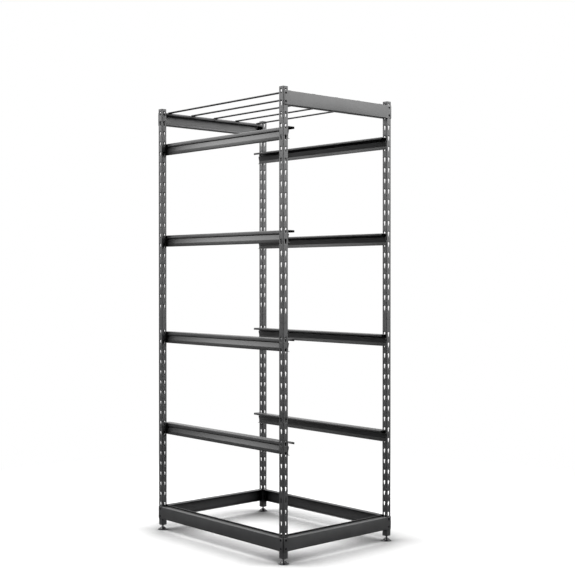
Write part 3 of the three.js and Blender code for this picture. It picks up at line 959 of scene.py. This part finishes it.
# outer surface as (distance in from the web's outer surface, z)
TOP_PATH = [
    (FLANGE, top_low + 8), (FLANGE, top_low), (0, top_low),
    (0, top_high), (FLANGE, top_high), (FLANGE, top_high - 12),
]
BASE_PATH = [
    (12, base_low), (0, base_low), (0, base_ledge),
    (LIP_IN, base_ledge), (LIP_IN - LIP_LEAN, base_lip),
]

# tongues of the crossbars and their slots in the top beams
BARS = [f"crossbar_{i}" for i in range(1, 6)]
TONGUE_HALF_WIDTH, TONGUE_HALF_THICK = 5.1, 0.6
SLOT_HALF_WIDTH, SLOT_HALF_THICK = 5.5, 1.2
tongue_y = half_depth - 20


def around(centre, half):
    return centre - half, centre + half


def beam(name, path, along, web, half, post_at, tab_span, rivet_z, pin_z, slots=()):
    """A front or left beam: folded body, a flat tab over each post, rivet and pin holes."""
    outline = [(web + distance, z) for distance, z in path]
    body_half = half - TUBE - BODY_CLEARANCE
    body = bent_bar(name, outline, BEAM_SHEET, 0.5, body_half, along)
    normal, axis = ("Y", Y_AXIS) if along == "X" else ("X", X_AXIS)
    tabs, holes = [], []
    for side in (-1, 1):
        u_span = sorted((side * (half - TUBE - TAB_OVERLAP), side * (half - TAB_SHORT)))
        tab = plate(u_span, tab_span, (web, web + BEAM_SHEET), normal)
        tabs.append(mesh_of("tab", *tab))
        for radius, z in ((RIVET_SHANK + 0.15, rivet_z), (PIN_SHANK + 0.3, pin_z)):
            at = (side * post_at, web, z) if along == "X" else (web, side * post_at, z)
            holes.append(cylinder(radius, 12, at, axis))
    made = carve(body, tabs, "UNION")
    return carve(made, [*holes, *slots], "DIFFERENCE")


def bar_slot(bar):
    """A cutter for the slot that a crossbar's front tongue goes into."""
    u_span = around(middle(bar)[0], SLOT_HALF_WIDTH)
    v_span = around(-tongue_y, SLOT_HALF_THICK)
    depth_span = (top_high - 6, top_high + 4)
    return mesh_of("slot", *plate(u_span, v_span, depth_span, "Z", radius=1.0, soft=0.05, steps=3))


ALONG_X = {"along": "X", "web": web_y, "half": half_width, "post_at": post_x}
ALONG_Y = {"along": "Y", "web": web_x, "half": half_depth, "post_at": post_y}
TOP_ENDS = {"tab_span": (top_low, top_high), "rivet_z": top_rivet, "pin_z": top_pin}
BASE_ENDS = {"tab_span": (base_low, base_ledge), "rivet_z": base_rivet, "pin_z": base_pin}
bar_slots = [bar_slot(bar) for bar in BARS]
top_mesh = beam("top_beam", TOP_PATH, **ALONG_X, **TOP_ENDS, slots=bar_slots)
base_x_mesh = beam("base_beam_x", BASE_PATH, **ALONG_X, **BASE_ENDS)
base_y_mesh = beam("base_beam_y", BASE_PATH, **ALONG_Y, **BASE_ENDS)
for level, mesh, sides in (
    ("top", top_mesh, ("front", "back")),
    ("base", base_x_mesh, ("front", "back")),
    ("base", base_y_mesh, ("left", "right")),
):
    for side, turn in zip(sides, (0.0, math.pi)):
        node = f"{level}_beam_{side}"
        place(node + "_section", mesh, "beam_coat", node, turn=turn)


def beam_hole(side, tag, z):
    """A hole's centre on a beam's web; the tag tells the beam's ends: l and r, or f and b."""
    sign = -1 if tag in ("l", "f") else 1
    if side in ("front", "back"):
        return sign * post_x, web_y if side == "front" else -web_y, z
    return web_x if side == "left" else -web_x, sign * post_y, z


for level, z, sides in (
    ("top", top_rivet, ("front", "back")),
    ("base", base_rivet, ("front", "back", "left", "right")),
):
    for side in sides:
        for tag in "lr" if side in ("front", "back") else "fb":
            at = beam_hole(side, tag, z)
            place(f"rivet_{level}_{side}_{tag}", rivets[side], "pin_steel", at=at)
for node in sorted(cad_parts):
    if node.startswith("lock_pin_"):
        _, _, level, side, tag = node.split("_")
        at = beam_hole(side, tag, top_pin if level == "top" else base_pin)
        place(node + "_turned", pins[side], "pin_steel", node, at=at)

# ------------------------------------------------------------------ rails
rail_out = left_face + TUBE + POST_GAP  # outermost plane of the left rails' webs
RAIL_RIVET_DROP = 8.0  # below the rail's top
# outer surface as (distance in from the outermost plane, height above the rail's top)
RAIL_PATH = [
    (8.8, -49.5), (0.4, -49.5), (0, -35.5), (4, -16.5),
    (0.3, -13.5), (0, 0), (34, 0), (34, -9),
]
# (radius, height), heights from the web's inner surface towards the post
WEB_IN = 2.75  # from the web's outermost plane to the rivet's origin
RAIL_GRIP = WEB_IN + WALL
RAIL_RIVET_PROFILE = [
    (0, -0.2), (1.3, -0.2), (1.7, -0.5), (2.1, -1.05), (2.6, -1.2), (3.3, -1.05),
    (3.8, -0.6), (RIVET_HEAD, 0.0), (RIVET_HEAD, 0.25), (RIVET_SHANK, 0.25),
    (RIVET_SHANK, RAIL_GRIP + 0.6), (3.6, RAIL_GRIP + 0.6), (RIVET_HEAD, RAIL_GRIP + 1.0),
    (3.6, RAIL_GRIP + 1.7), (0, RAIL_GRIP + 1.9),
]


def rail():
    """A left rail, its top at z = 0."""
    half = box_mm("rail_left_1")[1][1]
    outline = [(rail_out + distance, z) for distance, z in RAIL_PATH]
    body = bent_bar("rail", outline, RAIL_SHEET, 0.9, half, "Y")
    holes = []
    for side in (-1, 1):
        at = (rail_out, side * post_y, -RAIL_RIVET_DROP)
        holes.append(cylinder(RIVET_SHANK + 0.1, 14, at, X_AXIS))
    return carve(body, holes, "DIFFERENCE")


rail_mesh = rail()
OUTWARDS = {"left": (-1, 0, 0), "right": (1, 0, 0)}
rail_rivets = aimed(mesh_of("rail_rivet", *lathe(RAIL_RIVET_PROFILE, 32)), OUTWARDS)
for side, sign, turn in (("left", -1, 0.0), ("right", 1, math.pi)):
    for i in range(1, 5):
        node = f"rail_{side}_{i}"
        z = box_mm(node)[1][2]
        place(node + "_section", rail_mesh, "rail_coat", node, at=(0, 0, z), turn=turn)
        for end, tag in ((-1, "f"), (1, "b")):
            at = (sign * abs(rail_out + WEB_IN), end * post_y, z - RAIL_RIVET_DROP)
            place(f"rivet_{node}_{tag}", rail_rivets[side], "pin_steel", at=at)

# ------------------------------------------------------------------ crossbars
BAR_HALF_WIDTH = 9
BAR_RISE = 0.3  # lower edges above the top beams


def crossbar():
    """A channel open below, with a tongue down into each top beam."""
    low, high = box_mm("crossbar_3")
    under, top, half = top_high + BAR_RISE, high[2], high[1]
    outline = [
        (-BAR_HALF_WIDTH, under), (-BAR_HALF_WIDTH, top),
        (BAR_HALF_WIDTH, top), (BAR_HALF_WIDTH, under),
    ]
    body = bent_bar("crossbar", outline, BAR_SHEET, 0.8, half, "Y")
    tongues = []
    for side in (-1, 1):
        u_span = around(0, TONGUE_HALF_WIDTH)
        depth_span = around(side * tongue_y, TONGUE_HALF_THICK)
        tongue = plate(u_span, (low[2], top - 0.5), depth_span, "Y", radius=1.6, soft=0.15)
        tongues.append(mesh_of("tongue", *tongue))
    return carve(body, tongues, "UNION")


bar_mesh = crossbar()
for bar in BARS:
    place(bar + "_section", bar_mesh, "bar_coat", bar, at=(middle(bar)[0], 0, 0))


# ------------------------------------------------------------------ floor, light and camera, m
FLOOR_SEEN, FLOOR_BOUNCE = 0.60, 0.07  # the floor's shade to the camera and to other rays
FLOOR_FADE = (0.85, 2.3)  # distances from the origin where the fade to white starts and ends
AMBIENT = 0.06
SOFT_BOXES = (  # towards, degrees off it where it begins and where it is full, radiance
    ((0.66, -0.70, 0.56), 42, 16, 5.1),
    ((-0.70, 0.62, 0.66), 42, 16, 5.2),
    ((0.66, 0.75, 0.24), 32, 14, 1.1),
    ((0.0, 0.0, 1.0), 50, 15, 1.3),
)


def pale_floor():
    """A pale matt floor that fades to plain white for the camera and reflects less light."""
    material = bpy.data.materials.new("pale_floor")
    shader = Shader(material)
    output = shader.node("OutputMaterial")
    seen = shader.node("LightPath").outputs["Is Camera Ray"]
    diffuse = shader.node("BsdfDiffuse")
    shade = shader.ramp(seen, span=(0.0, 1.0), to=(FLOOR_BOUNCE, FLOOR_SEEN))
    # a painted soft contact shadow under and beside the rack: the floor's colour is darkened by an
    # ambient occlusion mask
    painted_shadow_openness = shader.occlusion(samples=8, distance=0.22)
    shade = shader.times(shade, by=shader.ramp(painted_shadow_openness, span=(0.55, 1.0), to=(0.08, 1.0)))
    shader.feed(diffuse, "Color", shade)
    glow = shader.node("Emission")
    shader.feed(glow, "Color", (1, 1, 1))
    shader.feed(glow, "Strength", 1.0)
    blend = shader.node("MixShader")
    geometry = shader.node("NewGeometry")
    distance = shader.node("VectorMath", operation="LENGTH")
    shader.feed(distance, 0, geometry.outputs["Position"])
    fade = shader.ramp(distance.outputs["Value"], span=FLOOR_FADE)
    shader.feed(blend, 0, shader.times(fade, by=seen))
    shader.feed(blend, 1, diffuse.outputs[0])
    shader.feed(blend, 2, glow.outputs[0])
    shader.feed(output, "Surface", blend.outputs[0])
    return material


def add_floor():
    mesh = bpy.data.meshes.new("floor")
    work = bmesh.new()
    bmesh.ops.create_grid(work, x_segments=2, y_segments=2, size=14.0)
    work.to_mesh(mesh)
    work.free()
    floor = bpy.data.objects.new("floor", mesh)
    mesh.materials.append(pale_floor())
    floor.location = (0, 0, cad_lo.z - 0.0005)
    scene.collection.objects.link(floor)


def add_world():
    """A studio of broad soft boxes, seen by the camera as plain white.

    They are brightest to the front right and the back left, softer overhead, dim elsewhere.
    """
    world = bpy.data.worlds.new("studio")
    scene.world = world
    shader = Shader(world)
    output = shader.node("OutputWorld")
    background = shader.node("Background")
    shader.feed(background, "Color", (1, 1, 1))
    rays = shader.node("LightPath")
    coords = shader.node("TexCoord")
    light = None
    for towards, begins, full, radiance in SOFT_BOXES:
        dot = shader.node("VectorMath", operation="DOT_PRODUCT")
        shader.feed(dot, 0, coords.outputs["Generated"])
        dot.inputs[1].default_value = Vector(towards).normalized()
        span = (math.cos(math.radians(begins)), math.cos(math.radians(full)))
        box = shader.ramp(dot.outputs["Value"], span, (0.0, radiance), "SMOOTHSTEP")
        light = box if light is None else shader.math("ADD", light, box)
    light = shader.math("ADD", light, AMBIENT)
    pick = shader.node("Mix", data_type="FLOAT")
    shader.feed(pick, 0, rays.outputs["Is Camera Ray"])
    shader.feed(pick, 2, light)
    shader.feed(pick, 3, 1.0)
    shader.feed(background, "Strength", pick.outputs[0])
    shader.feed(output, "Surface", background.outputs[0])


def add_top_light():
    """A square soft light overhead, a little to the back left."""
    light = bpy.data.lights.new("top_soft", "AREA")
    light.shape = "RECTANGLE"
    light.size = light.size_y = 1.5
    light.energy = 45
    lamp = bpy.data.objects.new("top_soft", light)
    at, target = Vector((-0.5, 0.4, 3.5)), Vector((0.1, -0.1, 0))
    lamp.location = at
    lamp.rotation_euler = (target - at).to_track_quat("-Z", "Y").to_euler()
    scene.collection.objects.link(lamp)


def add_camera():
    """A long lens to the front left of the rack, almost level."""
    lens = bpy.data.cameras.new("camera")
    lens.sensor_width = 36.0
    lens.lens = 70.2045
    lens.shift_x, lens.shift_y = -0.0002608696, 0.0008695652
    lens.clip_start, lens.clip_end = 0.05, 60.0
    camera = bpy.data.objects.new("camera", lens)
    camera.location = (-3.17017, -3.64728, 1.11591)
    camera.rotation_euler = (math.radians(89.39959), 0.0, math.radians(-41.78704))
    scene.collection.objects.link(camera)
    scene.camera = camera
    scene.view_settings.view_transform = "Standard"


add_floor()
add_world()
add_top_light()
add_camera()
